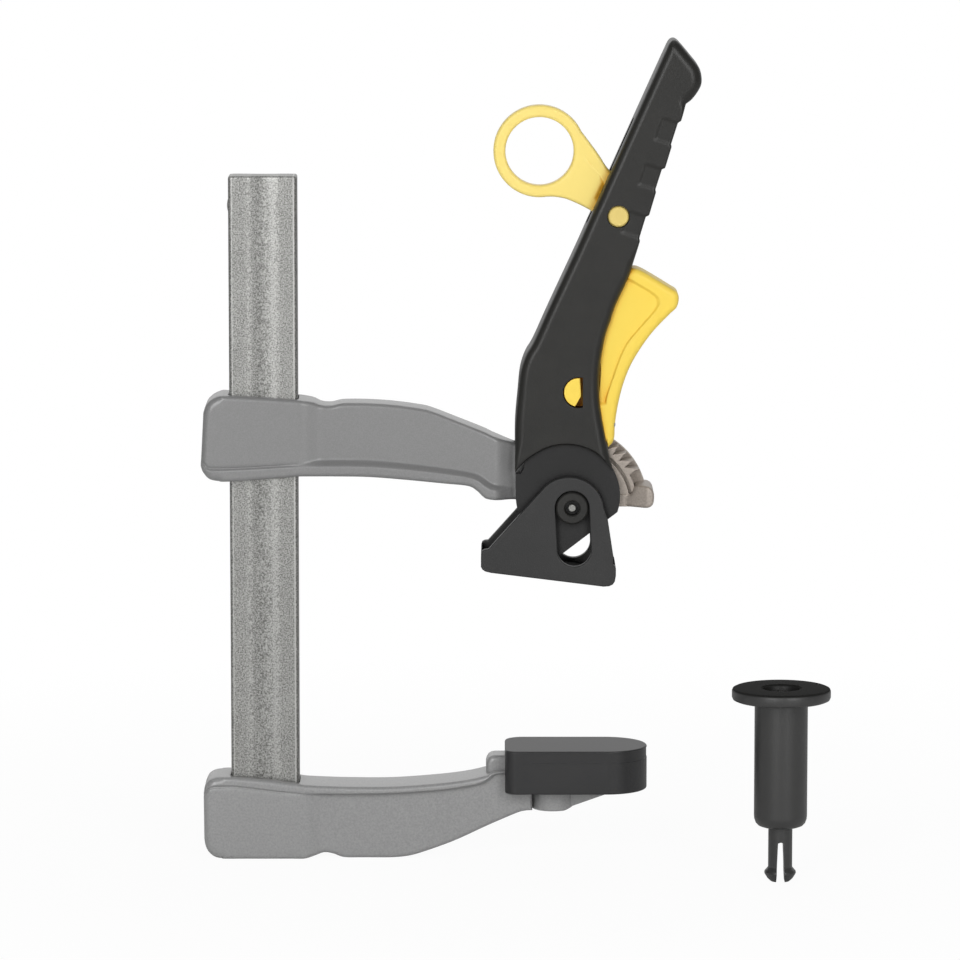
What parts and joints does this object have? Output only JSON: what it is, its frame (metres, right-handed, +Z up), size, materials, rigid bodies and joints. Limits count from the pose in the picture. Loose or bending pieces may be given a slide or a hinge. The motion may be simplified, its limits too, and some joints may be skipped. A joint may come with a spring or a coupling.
{
  "type": "quick release bar clamp",
  "caption": "Quick release bar clamp with a cam lever, ratchet sector, release trigger, finger ring, swivelling foot and a snap-in mounting peg.",
  "frame": {"origin": "underside of the fixed jaw's collar, on the bar's axis", "axes": "+X from the bar towards the jaws' ends, +Z up the bar, front face towards -Y"},
  "size_m": [0.1832, 0.0647, 0.2419],
  "materials": {
    "bar_steel": "satin",
    "casting": "satin",
    "pin_steel": "satin",
    "black_steel": "satin",
    "black_plastic": "matte",
    "pad_plastic": "matte",
    "yellow_plastic": "satin"
  },
  "bodies": {
    "frame": {"bar": "bar_steel", "bar_stop_pin": "pin_steel", "fixed_jaw": "casting", "jaw_pad": "pad_plastic"},
    "arm": {"sliding_arm": "casting", "pivot_pin": "pin_steel"},
    "lever": {"cam_plate_front": "black_steel", "cam_plate_back": "black_steel", "handle_shell": "black_plastic", "trigger_spring": "pin_steel", "ring_pin": "yellow_plastic"},
    "trigger": {"release_trigger": "yellow_plastic", "pawl": "pin_steel", "pawl_pin": "pin_steel"},
    "ring": {"finger_ring": "yellow_plastic"},
    "bushes": {"foot_bush_front": "black_plastic", "foot_bush_back": "black_plastic"},
    "foot": {"pressure_foot": "black_plastic"},
    "loose_peg": {"peg": "black_plastic"}
  },
  "joints": [
    {"name": "arm_slide", "type": "slide", "parent": "frame", "child": "arm", "axis": [0, 0, 1], "range_m": [-0.0465, 0.053]},
    {"name": "lever_swing", "type": "hinge", "parent": "arm", "child": "lever", "pos_m": [0.0904, 0, 0.10515], "axis": [0, 1, 0], "range_deg": [0, 31.2]},
    {"name": "trigger_squeeze", "type": "hinge", "parent": "lever", "child": "trigger", "pos_m": [0.0922, 0, 0.13905], "axis": [0, 1, 0], "range_deg": [-17, 0], "stiffness_Nm_per_rad": 0.3, "deforming": ["trigger_spring"]},
    {"name": "ring_swing", "type": "hinge", "parent": "lever", "child": "ring", "pos_m": [0.1037, 0, 0.19055], "axis": [0, 1, 0], "range_deg": [0, 28]},
    {"name": "foot_swivel", "type": "hinge", "parent": "arm", "child": "bushes", "pos_m": [0.0904, 0, 0.10515], "axis": [0, 1, 0], "range_deg": [-14, 4]},
    {"name": "foot_rise", "type": "slide", "parent": "bushes", "child": "foot", "axis": [-0.0523, 0, 0.9986], "range_m": [0, 0.0026]},
    {"name": "peg_lift", "type": "slide", "parent": "frame", "child": "loose_peg", "axis": [0, 0, 1], "range_m": [0, 0.07]}
  ]
}
